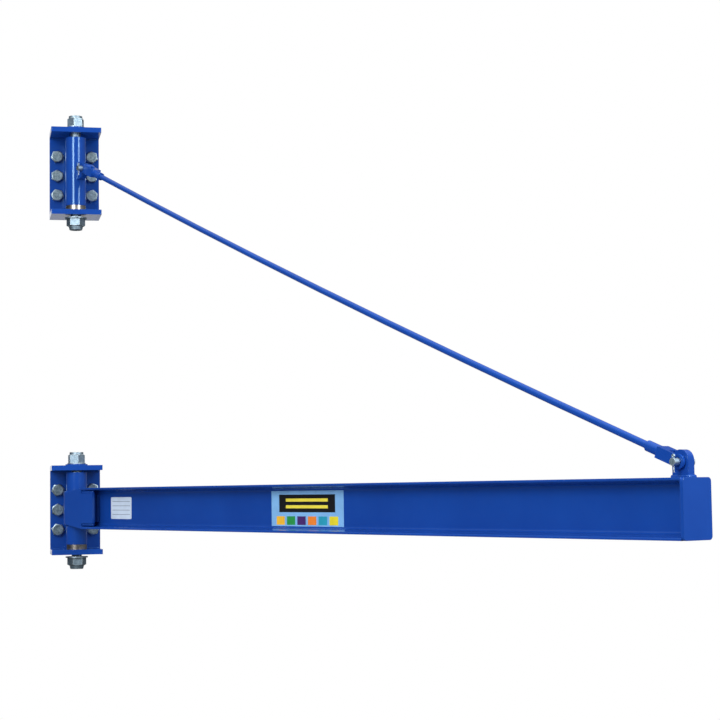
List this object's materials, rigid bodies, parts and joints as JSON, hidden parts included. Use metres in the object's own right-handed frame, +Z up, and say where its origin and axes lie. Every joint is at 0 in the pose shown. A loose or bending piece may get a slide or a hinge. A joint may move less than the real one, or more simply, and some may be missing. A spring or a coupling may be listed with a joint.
{
  "type": "wall-mounted jib crane",
  "caption": "Wall-mounted jib crane: bolted wall brackets with vertical pivots carry a swinging rolled-beam boom held up by a slanting tie rod.",
  "frame": {"origin": "centre of the lower bracket's back face, on the wall plane", "axes": "+Y into the wall, +Z up, +X to the right of someone facing the wall; the boom stands out towards -Y, swung 25 degrees towards +X"},
  "size_m": [0.974, 2.027, 1.16],
  "materials": {
    "blue_paint": "gloss",
    "zinc_plated_steel": "satin",
    "bare_steel": "satin",
    "bronze": "satin"
  },
  "bodies": {
    "wall_brackets": {"lower_back_plate": "blue_paint", "lower_top_flange": "blue_paint", "lower_bottom_flange": "blue_paint", "lower_wall_bolts": "zinc_plated_steel", "lower_pivot_bolt": "zinc_plated_steel", "lower_seat_washer": "blue_paint", "lower_washers": "zinc_plated_steel", "lower_lock_nut": "zinc_plated_steel", "lower_thrust_ring": "bare_steel", "upper_back_plate": "blue_paint", "upper_top_flange": "blue_paint", "upper_bottom_flange": "blue_paint", "upper_wall_bolts": "zinc_plated_steel", "upper_pivot_bolt": "zinc_plated_steel", "upper_seat_washer": "blue_paint", "upper_washers": "zinc_plated_steel", "upper_lock_nut": "zinc_plated_steel", "upper_thrust_ring": "bare_steel"},
    "jib": {"lower_pivot_tube": "blue_paint", "lower_bushes": "bronze", "upper_pivot_tube": "blue_paint", "upper_bushes": "bronze", "boom_beam": "blue_paint", "tube_strap": "blue_paint", "strap_fillers": "blue_paint", "end_cap": "blue_paint", "tip_lug": "blue_paint", "tip_yoke": "blue_paint", "tip_pin": "zinc_plated_steel", "tip_cotter": "zinc_plated_steel", "head_lug": "blue_paint", "head_yoke": "blue_paint", "head_pin": "zinc_plated_steel", "head_cotter": "zinc_plated_steel", "tie_rod": "blue_paint"}
  },
  "joints": [
    {"name": "boom_swing", "type": "hinge", "parent": "wall_brackets", "child": "jib", "pos_m": [0, -0.075, 0], "axis": [0, 0, 1], "range_deg": [-115, 65]}
  ]
}
